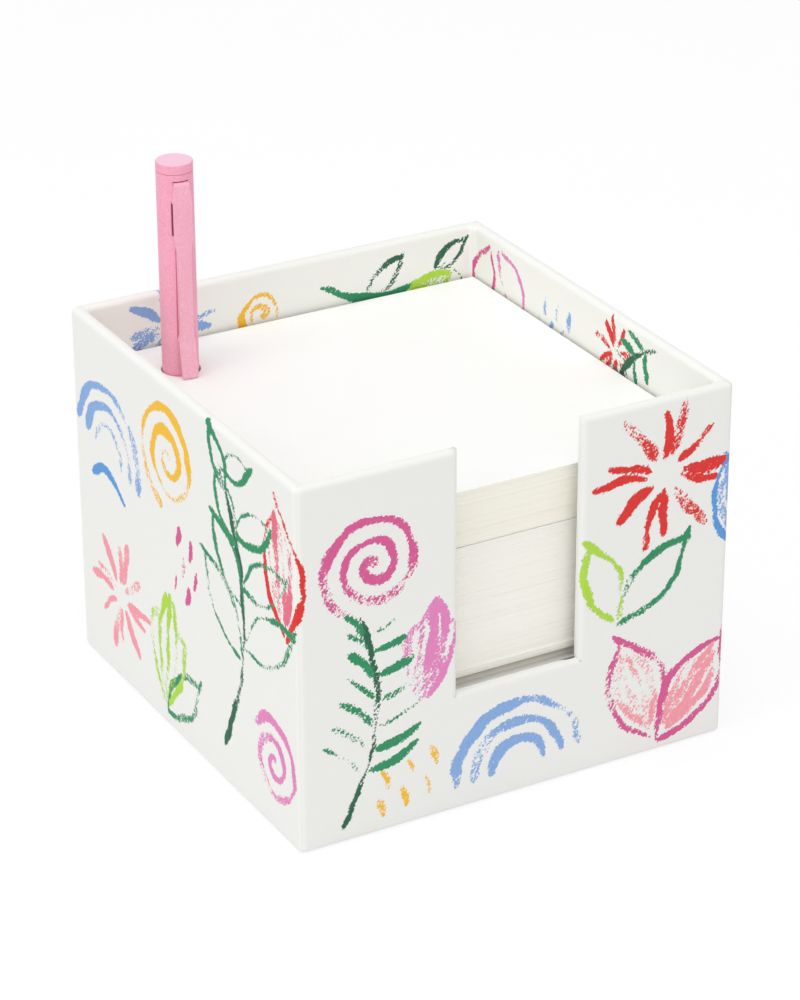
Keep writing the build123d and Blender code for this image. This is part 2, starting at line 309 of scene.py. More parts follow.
class Drawing:
    """The list of strokes, each an ink, a path, half widths along it and pressures along it."""

    def __init__(self, seed=7):
        self.strokes = []
        self.chance = np.random.default_rng(seed)

    def stroke(self, ink, width, points, at=(0, 0), turn=0.0, size=1.0, press=0.66):
        """One stroke, which shakes, tapers at its ends and varies in width and pressure."""
        path = smooth_path(placed(points, at, turn, size))
        steps = np.arange(len(path)) * PATH_STEP
        shake = self.chance.uniform(0, 6.28, 6)
        aside = wave(steps, 0.22, 2.3, shake[0]) + wave(steps, 0.12, 0.9, shake[1])
        path = path + np.stack([aside, wave(steps, 0.2, 1.9, shake[2])], 1)
        ends = np.minimum(steps, steps[-1] - steps)
        taper = np.clip(0.6 + ends / 4.0, 0, 1)
        swell = 1 + wave(steps, 0.24, 7.1, shake[3]) + wave(steps, 0.12, 1.5, shake[4])
        weight = press + wave(steps, 0.17, 8.3, shake[5]) + wave(steps, 0.06, 2.1, shake[1])
        self.strokes.append((ink, path, width / 2 * taper * swell, weight))

    def leaf(self, ink, at, turn, size, width=1.7, press=0.68, broad=1.0):
        """A leaf's outline in two strokes that cross at its tip."""
        right = [(0.02, 0), (0.17, 0.28), (0.2, 0.6), (-0.02, 1.02)]
        left = [(-0.02, 0.04), (-0.17, 0.34), (-0.15, 0.68), (0.03, 0.97)]
        for side in (right, left):
            self.stroke(ink, width, [(x * broad, y) for x, y in side], at, turn, size, press)

    def plume(self, ink, at, turn, size, count=4, width=2.5, press=0.6, broad=1.0):
        """A leaf filled with long dry strokes from its foot."""
        for i in range(count):
            lean = (i / (count - 1) - 0.5) * broad
            tip = 1.0 - 0.3 * abs(lean) + (0.05 if i % 2 else -0.03)
            blade = [(0.06 * lean, 0.04), (0.3 * lean, 0.34), (0.36 * lean, 0.66), (0.16 * lean, tip)]
            self.stroke(ink, width, blade, at, turn, size, press)

    def pod(self, rim, fill, at, turn, size, broad=1.3):
        """A leaf in one ink, filled with another."""
        foot = placed([(0, 0.1)], at, turn, size)[0]
        self.plume(fill, foot, turn, size * 0.78, 4, 2.4, 0.57, broad * 0.85)
        self.leaf(rim, at, turn, size, 1.8, 0.72, broad)

    def stem(self, ink, width, at, turn, size, bend, press):
        """A curved stem. It gives points along itself."""
        line = [(0, 0), (bend, 0.35), (bend * 0.6, 0.7), (-bend, 1.0)]
        self.stroke(ink, width, line, at, turn, size, press)
        return placed(smooth_path(line, 0.02), at, turn, size)

    def sprig(self, stem, leaves, at, turn, size, pairs=3):
        """A stem with leaves along both sides."""
        curve = self.stem(stem, 1.9, at, turn, size, 0.1, 0.72)
        for i in range(pairs):
            span = size * (0.4 - 0.06 * i)
            for lean, shift in ((48, 0.0), (-54, 0.07)):
                part = 0.36 + shift + 0.54 * i / max(pairs - 1, 1)
                spot = curve[min(int(len(curve) * part), len(curve) - 1)]
                self.leaf(leaves, spot, turn + lean - 4 * i, span)

    def fern(self, stem, leaves, at, turn, size, pairs=7, bend=0.1):
        """A stem with short strokes along both sides."""
        curve = self.stem(stem, 1.7, at, turn, size, bend, 0.7)
        for i in range(pairs):
            spot = curve[int((len(curve) - 1) * (0.24 + 0.7 * i / (pairs - 1)))]
            span = size * (0.27 - 0.15 * i / pairs)
            for lean in (58, -60):
                self.stroke(leaves, 2.0, [(0, 0.1), (0.06, 0.5), (0, 1.0)], spot, turn + lean - i, span, 0.62)

    def burst(self, ink, at, radius, count, width=2.6):
        """Short strokes that stand round a middle."""
        for i in range(count):
            reach = radius * (1.0 if i % 2 else 0.82)
            angle = 360 * i / count + 7 * (i % 3)
            self.stroke(ink, width, [(0, 0.28), (0.04, 0.6), (0, 1.0)], at, angle, reach, 0.68)

    def curl(self, ink, at, radius, turns, width=2.2):
        """A spiral, from its middle outwards."""
        count = int(10 * turns)
        path = []
        for i in range(1, count + 1):
            reach = radius * i / count
            angle = 2 * math.pi * turns * i / count
            path.append((reach * math.cos(angle), reach * math.sin(angle)))
        self.stroke(ink, width, path, at)

    def arches(self, ink, at, turn, radius, count=3, width=2.5):
        """Half rings, one inside the other."""
        for i in range(count):
            reach = radius * (1 - 0.29 * i)
            angles = [math.pi * k / 8 for k in range(9)]
            path = [(reach * math.cos(angle), reach * math.sin(angle)) for angle in angles]
            self.stroke(ink, width, path, at, turn, press=0.64)

    def dashes(self, ink, at, turn, rows, count, gap=6.2):
        """Short strokes in staggered rows."""
        for i in range(rows):
            for k in range(count):
                offset = ((k + 0.5 * (i % 2) - count / 2) * gap, (i - rows / 2) * gap)
                spot = placed([offset], at, turn, 1.0)[0]
                self.stroke(ink, 2.1, [(0, 0), (0.5, 2.2), (0.2, 4.4)], spot, turn)


def crayon_pattern():
    """The motifs, placed one by one. Each wall's middle is at 0, 109.5, 219 and -109.5 along S."""
    d = Drawing()
    # Front
    d.curl("magenta", (-36, 66), 13, 2.7, 2.5)
    d.fern("pine", "green", (-44, 4), -10, 50, 7, 0.08)
    d.plume("orchid", (-24, 30), -8, 25, 5, broad=1.3)
    d.dashes("golden", (-27, 12), 14, 2, 3)
    d.arches("sky", (0, 7), 4, 16, 3, 2.8)
    d.burst("red", (37, 70), 18, 12, 2.8)
    d.leaf("lime", (25, 36), 20, 23, 2.1)
    d.leaf("green", (25, 36), -46, 26, 2.0)
    d.pod("magenta", "coral", (36, 3), 20, 31, 1.2)
    d.pod("magenta", "coral", (37, 3), -36, 29, 1.2)
    # Left
    left = -109.5
    d.arches("sky", (left - 37, 58), -14, 16, 3, 2.8)
    d.stroke("blue", 2.2, [(left - 46, 50), (left - 38, 53), (left - 29, 48)])
    d.burst("coral", (left - 33, 23), 15, 12)
    d.curl("golden", (left - 5, 70), 14, 2.7, 2.5)
    d.plume("lime", (left - 10, 5), -6, 31, 5, 2.6, broad=1.5)
    d.leaf("green", (left - 10, 4), -50, 24, 2.0)
    d.sprig("pine", "green", (left + 20, 10), -6, 70, 4)
    d.dashes("magenta", (left + 4, 46), -10, 3, 2)
    d.pod("red", "rose", (left + 50, 50), 6, 33, 1.2)
    d.curl("orchid", (left + 44, 17), 11, 2.4, 2.4)
    # Right
    right = 109.5
    d.sprig("pine", "green", (right - 34, 12), -12, 60, 3)
    d.arches("sky", (right - 8, 28), -18, 15, 3, 2.8)
    d.burst("magenta", (right + 22, 62), 17, 12)
    d.plume("lime", (right + 20, 10), -30, 25, 5, 2.3)
    d.curl("golden", (right + 44, 24), 8, 2.2)
    d.leaf("coral", (right - 20, 76), -74, 25, broad=1.3)
    d.pod("blue", "sky", (right - 51, 46), 12, 26, 1.2)
    d.dashes("rose", (right + 2, 56), 8, 3, 2)
    # Back
    back = 219.0
    d.fern("pine", "green", (back - 40, 6), 6, 60, 8, 0.08)
    d.pod("magenta", "orchid", (back - 8, 34), 24, 31)
    d.pod("magenta", "orchid", (back - 6, 33), -22, 33)
    d.dashes("golden", (back - 6, 16), 4, 2, 4)
    d.curl("sky", (back + 34, 66), 12, 2.6, 2.6)
    d.leaf("lime", (back + 31, 28), -36, 23, 2.0)
    d.leaf("green", (back + 31, 28), 24, 21)
    d.burst("red", (back + 24, 13), 13, 11)
    d.arches("coral", (back - 22, 74), 10, 11, 2)
    # Over the rims and inside
    d.sprig("green", "pine", (back - 10, 98), 84, 34, 2)
    d.burst("sky", (back + 30, 99), 12, 11, 2.4)
    d.curl("golden", (back + 6, 101), 6, 2.2, 2.0)
    d.plume("lime", (back - 46, 101), -70, 15, 4, 2.0)
    d.leaf("magenta", (right + 44, 93), -20, 18, broad=1.3)
    d.leaf("orchid", (right + 40, 92), 40, 19, broad=1.2)
    d.dashes("sky", (right + 16, 102), 0, 2, 3, 5.4)
    d.burst("red", (right - 12, 99), 9, 10, 2.0)
    d.fern("pine", "green", (right - 30, 92), -50, 26, 5)
    d.plume("orchid", (left + 4, 91), -62, 23, 4, 2.0)
    d.dashes("lime", (left - 34, 100), 6, 2, 4)
    d.leaf("blue", (30, 90), 50, 21)
    return d.strokes


def stroke_cover(strokes, ink, s, t, perimeter):
    """How strongly an ink covers each point, from 0 to about 1.1."""
    cover = np.zeros(len(s), np.float32)
    for name, path, half, weight in strokes:
        if name != ink:
            continue
        for shift in (-perimeter, 0.0, perimeter):
            xs = path[:, 0] + shift
            reach = half.max() + 1.0
            near = np.where((s > xs.min() - reach) & (s < xs.max() + reach)
                            & (t > path[:, 1].min() - reach) & (t < path[:, 1].max() + reach))[0]
            if len(near) == 0:
                continue
            a = np.stack([xs[:-1], path[:-1, 1]], 1)
            ab = np.stack([np.diff(xs), np.diff(path[:, 1])], 1)
            long = np.maximum((ab ** 2).sum(1), 1e-9)
            for block in np.array_split(near, len(near) * len(a) // COVER_BLOCK + 1):
                p = np.stack([s[block], t[block]], 1)
                ap = p[:, None, :] - a[None, :, :]
                h = np.clip((ap * ab[None]).sum(2) / long[None], 0, 1)
                gap = np.linalg.norm(ap - h[..., None] * ab[None], axis=2)
                value = np.clip(0.5 + (half[:-1][None] - gap) / SOFT_EDGE, 0, 1) * weight[:-1][None]
                cover[block] = np.maximum(cover[block], value.max(1))
    return cover


# The wrap

SIDES = {
    "front": ((1, 0), (0, -1), HALF_X, HALF_Y),
    "right": ((0, 1), (1, 0), HALF_Y, HALF_X),
    "back": ((-1, 0), (0, 1), HALF_X, HALF_Y),
    "left": ((0, -1), (-1, 0), HALF_Y, HALF_X),
}
QUARTER = CORNER_RADIUS * math.pi / 4


def steps_between(stops, pitch):
    """Values from the first stop to the last, through each stop, about a pitch apart."""
    values = [stops[0]]
    for low, high in zip(stops, stops[1:]):
        count = max(1, round((high - low) / pitch))
        values += [low + (high - low) * (i + 1) / count for i in range(count)]
    return values


def wall_spot(side, a, depth, z):
    """The point at path length a from a wall's middle, at a depth below its outside.

    Inside, the paper spans the corner between two walls as a narrow slanting strip.
    """
    sideways, outward, half_long, half_out = SIDES[side]
    steady = NOTCH_HALF + NOTCH_FLAP
    flat = half_long - CORNER_RADIUS
    x = abs(a)
    if x > steady:
        full = flat - steady + QUARTER
        left = flat - steady + max(CORNER_RADIUS - depth, 0) * math.pi / 4 - max(depth - CORNER_RADIUS, 0)
        x = steady + (x - steady) / full * left
    out = half_out - depth
    if x > flat and depth < CORNER_RADIUS:
        radius = CORNER_RADIUS - depth
        angle = (x - flat) / radius
        x = flat + radius * math.sin(angle)
        out = half_out - CORNER_RADIUS + radius * math.cos(angle)
    bridge = CORNER_BRIDGE * held((depth - WALL) / RIM_RADIUS + 1)
    over = x - (half_long - WALL - bridge)
    if over > 0 and bridge > 0 and z > BASE_TOP + FOOT_RADIUS:
        over = min(over, bridge)
        x -= over / 2
        out -= over / 2
    x = math.copysign(x, a)
    return Vector((sideways[0] * x + outward[0] * out, sideways[1] * x + outward[1] * out, z))


def quarter_steps(count):
    """The angles of equal steps through a quarter turn."""
    return [math.pi / 2 * i / count for i in range(1, count + 1)]


def rim_profile():
    """Steps over a rim: how far past its start, how deep, and the length of paper so far."""
    r = RIM_RADIUS
    arc = r * math.pi / 2
    flat = WALL - 2 * r
    angles = quarter_steps(RIM_STEPS)
    rise = [(r * math.sin(t), r * (1 - math.cos(t)), r * t) for t in angles]
    over = [flat * i / FLAT_STEPS for i in range(1, FLAT_STEPS + 1)]
    level = [(r, r + run, arc + run) for run in over]
    fall = [(r * math.cos(t), WALL - r + r * math.sin(t), arc + flat + r * t) for t in angles]
    return rise + level + fall


def foot_profile():
    """Steps round the foot and on under the box: how far down and how deep."""
    angles = quarter_steps(FOOT_STEPS)
    rounded = [(FOOT_RADIUS * math.sin(t), FOOT_RADIUS * (1 - math.cos(t))) for t in angles]
    under = [(TURN_UNDER - FOOT_RADIUS) * i / FOOT_STEPS for i in range(1, FOOT_STEPS + 1)]
    return rounded + [(FOOT_RADIUS, FOOT_RADIUS + run) for run in under]


def sill_drop(a, depth, z):
    """How much lower the sill's rear lies near its right end."""
    if z >= SILL + NEAR:
        return 0.0
    low_end = held((a - SILL_CUT) / (NOTCH_HALF - SILL_CUT))
    raised = held((z - SILL) / RIM_RADIUS + 1)
    return SILL_DROP * low_end * raised * held((depth - RIM_RADIUS) / SILL_RAMP)


def wrap_wall(side, pitch, strokes):
    """One wall of the wrap as a sheet: under the foot, up outside, over the rim, down inside."""
    half_long = SIDES[side][2]
    flat = half_long - CORNER_RADIUS
    notched = side == "front"
    notch = NOTCH_HALF + RIM_RADIUS
    steady = NOTCH_HALF + NOTCH_FLAP
    half_columns = steps_between([0, notch, steady, flat], pitch)
    half_columns += [flat + QUARTER * i / CORNER_STEPS for i in range(1, CORNER_STEPS)]
    half_columns.append(flat + QUARTER + CORNER_LAP)
    columns = [-value for value in half_columns[:0:-1]] + half_columns
    foot = BASE_TOP + FOOT_RADIUS
    top = BOX_TOP - RIM_RADIUS
    rows = steps_between([foot, SILL - NOTCH_FLAP, SILL - RIM_RADIUS, LINING_TOP, top], pitch)
    bm = bmesh.new()
    a_of = bm.verts.layers.float.new("along")
    d_of = bm.verts.layers.float.new("depth")
    s_of = bm.verts.layers.float.new("s")
    t_of = bm.verts.layers.float.new("t")
    band = RIM_RADIUS * math.pi + WALL - 2 * RIM_RADIUS

    def face(depth):
        """A grid over the whole wall at one depth."""
        made = bmesh.ops.create_grid(
            bm, x_segments=len(columns) - 1, y_segments=len(rows) - 1, size=0.5)["verts"]
        for v in made:
            a = columns[round((v.co.x + 0.5) * (len(columns) - 1))]
            z = rows[round((v.co.y + 0.5) * (len(rows) - 1))]
            v[a_of], v[d_of] = a, depth
            v.co = (a, 0, z)
            v[s_of], v[t_of] = a, z
            if depth > 0:
                if z < LINING_TOP - NEAR and abs(a) > notch - NEAR:
                    v[s_of] = math.copysign(notch - band - (abs(a) - notch), a)
                elif z < LINING_TOP - NEAR:
                    v[t_of] = rows[0] + 2 * (SILL - RIM_RADIUS - rows[0]) + band - (z - rows[0])
                else:
                    aside = wall_spot(side, a, depth, 0).dot(Vector((*SIDES[side][0], 0)))
                    v[s_of] = abs(aside) if a > 0 else -abs(aside)
                    v[t_of] = top + band + (top - z)
        return made

    outer = face(0.0)
    inner = face(WALL)

    def cut(verts, test):
        faces = {f for v in verts if v.is_valid for f in v.link_faces}
        bmesh.ops.delete(bm, geom=[f for f in faces if test(f.calc_center_median())], context="FACES")

    if notched:
        cut(outer, lambda c: abs(c.x) < notch and c.z > SILL - RIM_RADIUS)
        cut(inner, lambda c: abs(c.x) < notch and c.z > SILL - RIM_RADIUS)
        cut(inner, lambda c: c.z < LINING_TOP and (abs(c.x) > steady or c.z < SILL - NOTCH_FLAP))
    else:
        cut(inner, lambda c: c.z < LINING_TOP)

    def at_edge(v):
        """Which way the paper goes on at a vertex of the rim or the notch, or none."""
        a, z = v.co.x, v.co.z
        side_step = up = 0
        if z > top - NEAR:
            up = 1
        if notched and abs(a) < notch + NEAR and z > SILL - RIM_RADIUS - NEAR:
            if abs(z - (SILL - RIM_RADIUS)) < NEAR:
                up = 1
            if abs(abs(a) - notch) < NEAR:
                side_step = -1 if a > 0 else 1
        return side_step, up

    loop = [e for v in outer if v.is_valid for e in v.link_edges
            if len(e.link_faces) == 1 and all(any(at_edge(w)) for w in e.verts)]
    loop = list(set(loop))
    start = {}
    for lateral, depth, run in rim_profile():
        made = bmesh.ops.extrude_edge_only(bm, edges=loop)["geom"]
        new_verts = [g for g in made if isinstance(g, bmesh.types.BMVert)]
        fresh = {}
        for v in new_verts:
            origin = start.get((round(v[a_of], 3), round(v.co.z, 3), round(v.co.x, 3)))
            if origin is None:
                origin = (v.co.x, v.co.z, *at_edge(v))
            a0, z0, side_step, up = origin
            v.co = (a0 + side_step * lateral, 0, z0 + up * lateral)
            v[a_of] = v.co.x
            v[d_of] = depth
            v[s_of] = a0 + side_step * run
            v[t_of] = z0 + up * run
            fresh[(round(v[a_of], 3), round(v.co.z, 3), round(v.co.x, 3))] = origin
        start = fresh
        loop = [g for g in made if isinstance(g, bmesh.types.BMEdge)]

    low = [e for v in outer if v.is_valid for e in v.link_edges
           if all(w.co.z < foot + NEAR for w in e.verts)]
    loop = list(set(low))
    for drop, depth in foot_profile():
        made = bmesh.ops.extrude_edge_only(bm, edges=loop)["geom"]
        for v in made:
            if isinstance(v, bmesh.types.BMVert):
                v.co.z = foot - drop
                v[d_of] = depth
                v[t_of] = foot - drop - depth
        loop = [g for g in made if isinstance(g, bmesh.types.BMEdge)]

    for v in bm.verts:
        z = v.co.z
        if notched and abs(v[a_of]) < notch:
            z -= sill_drop(v[a_of], v[d_of], z)
        v.co = wall_spot(side, v[a_of], v[d_of], z)
    bmesh.ops.remove_doubles(bm, verts=bm.verts, dist=0.004)
    bmesh.ops.recalc_face_normals(bm, faces=bm.faces)
    outward = Vector((*SIDES[side][1], 0))
    probe = max(bm.faces, key=lambda f: f.calc_center_median().dot(outward))
    if probe.normal.dot(outward) < 0:
        bmesh.ops.reverse_faces(bm, faces=bm.faces)
    depths = np.array([v[d_of] for v in bm.verts])
    within = np.clip((depths / WALL - INSIDE_FROM) * INSIDE_RATE, 0, 1)
    within[[v.co.z < foot for v in bm.verts]] = 0
    perimeter = 4 * (HALF_X + HALF_Y - 2 * CORNER_RADIUS + 2 * QUARTER)
    middles = {"front": 0.0, "right": perimeter / 4, "back": perimeter / 2, "left": -perimeter / 4}
    s = np.array([v[s_of] for v in bm.verts]) + middles[side]
    t = np.array([v[t_of] for v in bm.verts])
    bm.verts.layers.float.remove(a_of)
    piece = piece_from(bm, f"wrap_{side}")
    for ink in INKS:
        cover = stroke_cover(strokes, ink, s, t, perimeter)
        layer = piece.data.attributes.new(f"ink_{ink}", "FLOAT", "POINT")
        layer.data.foreach_set("value", cover)
    layer = piece.data.attributes.new("inside", "FLOAT", "POINT")
    layer.data.foreach_set("value", within.astype(np.float32))
    thick = piece.modifiers.new("Paper", "SOLIDIFY")
    thick.thickness = PAPER * MM
    thick.offset = -1.0
    return piece


# Meshes

def piece_from(bm, name, smooth=True):
    """An object from a bmesh in millimetres."""
    bmesh.ops.scale(bm, verts=bm.verts, vec=(MM, MM, MM))
    mesh = bpy.data.meshes.new(name)
    bm.to_mesh(mesh)
    bm.free()
    for face in mesh.polygons:
        face.use_smooth = smooth
    piece = bpy.data.objects.new(name, mesh)
    bpy.context.scene.collection.objects.link(piece)
    return piece


def dress(piece, *materials):
    """Gives a piece or a solid its materials, in place of those it has."""
    worn = piece.data.materials
    for i, material in enumerate(materials):
        if i < len(worn):
            worn[i] = material
        else:
            worn.append(material)


def stack_of_sheets(node, name, layer, shift, seed, bands=()):
    """A drilled pile of paper whose layers lie a little out of line, shifted and turned on the pen.

    Each of bands is a range of heights over the pile's foot, how far the sheets in it stand forward
    in millimetres, and how far they are turned in degrees.
    """
    low, high = solid_box(node)
    pen_low, pen_high = solid_box("barrel")
    pen = (pen_low + pen_high) / 2
    chance = np.random.default_rng(seed)
    bm = bmesh.new()
    hole = bmesh.ops.create_circle(bm, segments=4 * EDGE_STEPS, radius=HOLE_RADIUS)["verts"]
    bmesh.ops.translate(bm, verts=hole, vec=(pen.x, pen.y, low.z))
    rim = bmesh.ops.create_grid(bm, x_segments=EDGE_STEPS, y_segments=EDGE_STEPS, size=0.5)["verts"]
    bmesh.ops.delete(bm, geom=[v for v in rim if max(abs(v.co.x), abs(v.co.y)) < 0.49], context="VERTS")
    bmesh.ops.delete(bm, geom=bm.faces[:], context="FACES_ONLY")
    rim = [v for v in rim if v.is_valid]
    bmesh.ops.scale(bm, verts=rim, vec=(high.x - low.x, high.y - low.y, 1))
    bmesh.ops.translate(bm, verts=rim, vec=((low.x + high.x) / 2, (low.y + high.y) / 2, low.z))
    count = max(1, round((high.z - low.z) / layer))
    bottom = loop = bm.edges[:]
    forward, sideways, turned = 0.0, 0.0, 0.0
    for i in range(count):
        level = low.z + (high.z - low.z) * (i + 1) / count
        middle = (high.z - low.z) * (i + 0.5) / count
        drawn = np.clip(chance.normal(0, 1, 3), -SHIFT_LIMIT, SHIFT_LIMIT)
        aside, ahead, turn = drawn * (shift, shift, SHEET_TURN * shift)
        for foot, top, push, extra in bands:
            if foot < middle < top:
                ahead += push
                turn += extra
        ring = {v for e in loop for v in e.verts}
        if i > 0:
            made = bmesh.ops.extrude_edge_only(bm, edges=loop)["geom"]
            ring = [g for g in made if isinstance(g, bmesh.types.BMVert)]
            loop = [g for g in made if isinstance(g, bmesh.types.BMEdge)]
        ring = list(ring)
        bmesh.ops.translate(bm, verts=ring, vec=(aside - sideways, forward - ahead, 0))
        twist = Matrix.Rotation(math.radians(turn - turned), 3, "Z")
        bmesh.ops.rotate(bm, verts=ring, cent=pen, matrix=twist)
        forward, sideways, turned = ahead, aside, turn
        made = bmesh.ops.extrude_edge_only(bm, edges=loop)["geom"]
        for v in made:
            if isinstance(v, bmesh.types.BMVert):
                v.co.z = level
        loop = [g for g in made if isinstance(g, bmesh.types.BMEdge)]
    bmesh.ops.bridge_loops(bm, edges=bottom)
    bmesh.ops.bridge_loops(bm, edges=loop)
    bmesh.ops.recalc_face_normals(bm, faces=bm.faces)
    for f in bm.faces:
        f.material_index = 0 if abs(f.normal.z) > 0.7 else 1
    return piece_from(bm, name, smooth=False)


# Finishes

def print_finish(name, paper, inside):
    """Waxy crayon strokes, broken up by the paper's tooth, on matt white paper."""
    f = Finish(name)
    place = f.place()
    x, y, z = (f.node("ShaderNodeSeparateXYZ", {}, {0: place}, output=axis) for axis in range(3))
    along = (x + y) * 0.62 + z * 0.78
    across = z * 0.62 - (x + y) * 0.78
    hatch = f.noise(f.node("ShaderNodeCombineXYZ", {}, {0: along * 0.55, 1: across * 1.9}), 1.0, 1.0)
    tooth = f.noise(place, 2.3, 3.0, 0.6)
    grain = (tooth * 0.62 + hatch * 0.38).held()
    fibre = f.noise(place, 5.0, 3.0)
    # The inside colour is the same wrap paper made lighter, painted light on the inner walls
    sheet = f.mix(f.attribute("inside"), colour(*paper), colour(*inside))
    tone = f.mix(fibre * 0.3, sheet, f.mix(0.5, sheet, colour(*[value - 16 for value in paper])))
    for ink, value in INKS.items():
        mask = (f.attribute(f"ink_{ink}") * 1.1 - grain * 0.8).above(0.1, 0.2)
        light = [min(255, v + 14) for v in value]
        tint = f.mix(grain, colour(*value), colour(*light))
        tone = f.mix(mask, tone, tint)
    lump = f.noise(place, 0.11, 2.0)
    height = fibre * 0.12 + lump * 0.88
    return f.surface(
        Base_Color=tone, Roughness=fibre * 0.1 + 0.72, Normal=f.bump(height, 0.035),
        Specular_IOR_Level=0.25)


def paper_finish(name, paper, depth=6):
    """Matt paper with fine fibres and a faint cloud."""
    f = Finish(name)
    place = f.place()
    fibre = f.noise(place, 4.0, 3.0)
    cloud = f.noise(place, 0.08, 2.0)
    tone = f.mix((fibre * 0.6 + cloud * 0.4).held(), colour(*paper), colour(*[v - depth for v in paper]))
    return f.surface(
        Base_Color=tone, Roughness=fibre * 0.1 + 0.8, Normal=f.bump(fibre, 0.012), Specular_IOR_Level=0.2)


def edge_finish(name, paper, dark, shade=None, span=(0.0, 1.0)):
    """The cut edges of a pile of sheets: fine level lines, some darker.

    With a shade given, the edges turn to that painted shade between the two heights of span, darker towards
    the top.
    """
    f = Finish(name)
    fine = f.noise(f.place((0.03, 0.03, 7.0)), 1.0, 1.0)
    broad = f.noise(f.place((0.012, 0.012, 1.1)), 1.0, 2.0)
    speck = f.noise(f.place((1.5, 1.5, 5.0)), 1.0, 2.0)
    amount = (fine * 0.5 + broad * 0.35 + speck * 0.25 - 0.1).held()
    tone = f.mix(amount, colour(*paper), colour(*dark))
    if shade:
        level = f.node("ShaderNodeSeparateXYZ", {}, {0: f.place()}, output=2)
        tone = f.mix(level.above(*span), tone, colour(*shade))
    height = fine * 0.6 + broad * 0.4
    return f.surface(
        Base_Color=tone, Roughness=speck * 0.1 + 0.82, Normal=f.bump(height, 0.03), Specular_IOR_Level=0.15)


def board_finish(name, base, dark):
    """Raw board with fibres and specks."""
    f = Finish(name)
    flakes = f.noise(f.place((0.5, 0.5, 2.0)), 1.2, 4.0, 0.65)
    specks = f.noise(f.place(), 1.6, 2.0).above(0.62, 0.75)
    tone = f.mix(flakes.held(), colour(*base), colour(*dark))
    tone = f.mix(specks * 0.45, tone, colour(*[v * 0.7 for v in dark]))
    return f.surface(
        Base_Color=tone, Roughness=flakes * 0.08 + 0.85, Normal=f.bump(flakes, 0.03), Specular_IOR_Level=0.15)


def tape_finish(name, base, dark):
    """Gummed kraft tape."""
    f = Finish(name)
    fibre = f.noise(f.place((1.0, 1.0, 0.25)), 2.4, 4.0)
    tone = f.mix(fibre.held(), colour(*base), colour(*dark))
    return f.surface(Base_Color=tone, Roughness=fibre * 0.12 + 0.62, Normal=f.bump(fibre, 0.012))


def coat_finish(name, base, end=None, clip_shaded=False):
    """A soft matt coat with a fine, even grain.

    It is lighter on the pen's end face, a painted highlight, and darker beside the clip, where painted shade
    marks the slit and crease under it.
    """
    f = Finish(name)
    place = f.place()
    grain = f.noise(place, 2.6, 3.0, 0.6)
    cloud = f.noise(f.place((1.0, 1.0, 0.3)), 0.25, 2.0)
    dark = [value - spread for value, spread in zip(base, COAT_GRAIN)]
    light = [min(255, value + spread) for value, spread in zip(base, COAT_GRAIN)]
    tone = f.mix((grain * 0.8 + cloud * 0.2).held(), colour(*dark), colour(*light))
    x, y, z = (f.node("ShaderNodeSeparateXYZ", {}, {0: place}, output=axis) for axis in range(3))
    # Painted highlight: the crown's top face turns lighter, as if lit from above
    if end:
        tone = f.mix(z.above(end - 0.06, end - 0.01), tone, colour(*CROWN_HIGHLIGHT))
    # Painted shade: the tube darkens in the slit and the crease beside the clip, where the clip shades it
    if clip_shaded:
        low, high = solid_box("cap_tube")
        turn = math.radians(CLIP_TURN)
        from_x, from_y = x - (low.x + high.x) / 2, y - (low.y + high.y) / 2
        aside = from_x * math.cos(turn) - from_y * math.sin(turn)
        outward = from_x * -math.sin(turn) - from_y * math.cos(turn)
        for left, right, foot, top, lean, ink in CLIP_SHADE:
            level = aside - (z - (foot + top) / 2) * lean
            across = level.above(left - 0.1, left + 0.1) * (1.0 - level.above(right - 0.1, right + 0.1))
            span = z.above(foot - 0.3, foot) * (1.0 - z.above(top, top + 0.3))
            tone = f.mix(across * span * outward.above(0.0, 0.5), tone, colour(*ink))
    return f.surface(
        Base_Color=tone, Roughness=grain * 0.12 + 0.5, Normal=f.bump(grain, 0.02), Specular_IOR_Level=0.4)


def moulded_finish(name, base, light, rough=0.4):
    """Moulded plastic with a faint flow."""
    f = Finish(name)
    grain = f.noise(f.place(), 1.8, 2.0)
    flow = f.noise(f.place((0.6, 0.6, 0.08)), 1.0, 2.0)
    tone = f.mix((grain * 0.4 + flow * 0.6).held(), colour(*base), colour(*light))
    return f.surface(Base_Color=tone, Roughness=grain * 0.12 + rough, Normal=f.bump(grain, 0.006))


def turned_metal_finish(name, base, light, rough=0.25):
    """Metal with the fine rings that turning leaves."""
    f = Finish(name)
    rings = f.noise(f.place((0.05, 0.05, 9.0)), 1.0, 2.0)
    tone = f.mix(rings.held(), colour(*base), colour(*light))
    return f.surface(
        Base_Color=tone, Metallic=1.0, Roughness=rings * 0.15 + rough, Normal=f.bump(rings, 0.004))


# Settings

class MemoCubeWrapSettings(bpy.types.PropertyGroup):
    pitch: bpy.props.FloatProperty(
        name="Print pitch", default=0.56, min=0.4, max=2.0,
        description="Distance between the points that carry the print, in millimetres")
    paper: bpy.props.FloatVectorProperty(
        name="Wrap paper", description="Colour of the unprinted wrap, 0 to 255 a channel",
        default=(242, 242, 239), size=3, min=0, max=255)
    # The inside colour is painted light: the wrap paper made lighter where it lines the walls inside
    inside: bpy.props.FloatVectorProperty(
        name="Inside paper", description="Colour of the wrap where it is turned inside, 0 to 255 a channel",
        default=(247, 248, 242), size=3, min=0, max=255)


class MemoCubeSheetSettings(bpy.types.PropertyGroup):
    layer: bpy.props.FloatProperty(
        name="Layer", description="Thickness of the sheets that moved together, in millimetres",
        default=0.2, min=0.1, max=5.0)
    shift: bpy.props.FloatProperty(
        name="Shift", default=0.03, min=0, max=0.2,
        description="How far a layer lies out of line, in millimetres")


